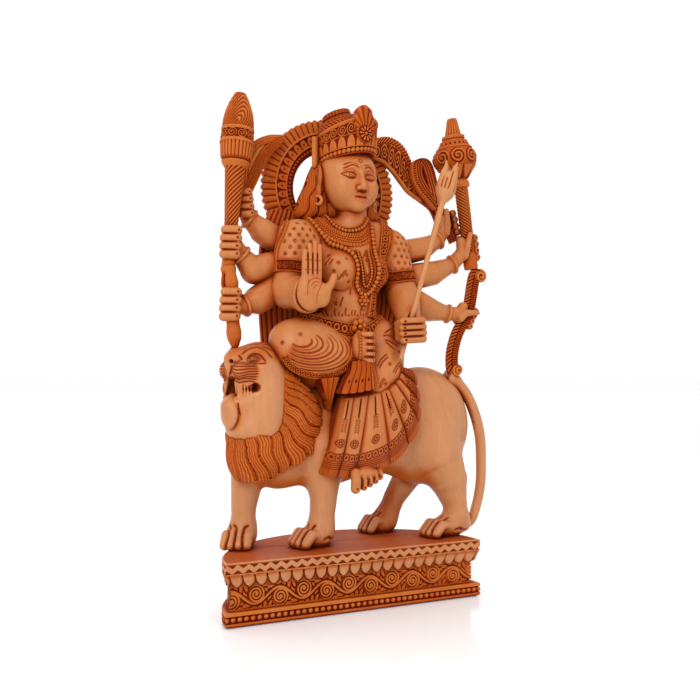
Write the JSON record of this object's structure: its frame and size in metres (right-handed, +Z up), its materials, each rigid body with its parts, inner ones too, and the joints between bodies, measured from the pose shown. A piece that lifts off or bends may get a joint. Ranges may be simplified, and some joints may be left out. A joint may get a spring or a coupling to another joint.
{
  "type": "hindu deity statue",
  "caption": "Carved wooden statue of a many-armed goddess seated on a walking lion, on a moulded half-oval plinth, with a lift-out flower staff in a drilled fist.",
  "frame": {"origin": "centre of the plinth's underside", "axes": "+Z up, -Y the front that the goddess faces, +X towards the lion's tail"},
  "size_m": [0.1949, 0.0758, 0.3209],
  "materials": {
    "polished_wood": "smooth, waxed, honey coloured with fine vertical grain",
    "stained_relief": "carved relief with reddish stain left in the recesses, edges rubbed pale",
    "pale_wood": "plain sanded pale wood",
    "felt": "thin dark crimson felt"
  },
  "bodies": {
    "carving": {"felt_pad": "felt", "plinth_foot": "stained_relief", "plinth_waist": "stained_relief", "plinth_petal_row": "stained_relief", "plinth_top_slab": "stained_relief", "lion_mane": "stained_relief", "goddess_crown": "stained_relief", "waist_belt": "stained_relief", "front_apron": "stained_relief", "side_apron": "stained_relief", "goddess_hair": "stained_relief", "left_club": "stained_relief", "left_dagger": "stained_relief", "right_mace": "stained_relief", "right_bow": "stained_relief", "left_leaf": "stained_relief", "right_conch": "stained_relief", "right_scarf": "stained_relief", "halo_arch": "stained_relief", "back_veil": "stained_relief", "lion_tongue": "polished_wood", "lion_head": "polished_wood", "lion_jaw": "polished_wood", "goddess_head": "polished_wood", "goddess_left_ear": "polished_wood", "goddess_right_ear": "polished_wood", "folded_foot": "polished_wood", "folded_leg": "polished_wood", "hanging_leg": "polished_wood", "hanging_skirt": "polished_wood", "bare_foot": "polished_wood", "blessing_arm": "polished_wood", "staff_arm": "polished_wood", "goddess_torso": "polished_wood", "lion_body": "polished_wood", "lion_near_foreleg": "polished_wood", "lion_far_foreleg": "polished_wood", "lion_near_hind_leg": "polished_wood", "lion_far_hind_leg": "polished_wood", "lion_tail": "polished_wood", "left_upper_arm": "polished_wood", "left_middle_arm": "polished_wood", "left_lower_arm": "polished_wood", "right_upper_arm": "polished_wood", "right_middle_arm": "polished_wood", "right_lower_arm": "polished_wood"},
    "staff": {"flower_bud_staff": "pale_wood"}
  },
  "joints": [
    {"name": "staff_slide", "type": "slide", "parent": "carving", "child": "staff", "axis": [0.295, 0.0187, 0.9553], "range_m": [0, 0.025]}
  ]
}
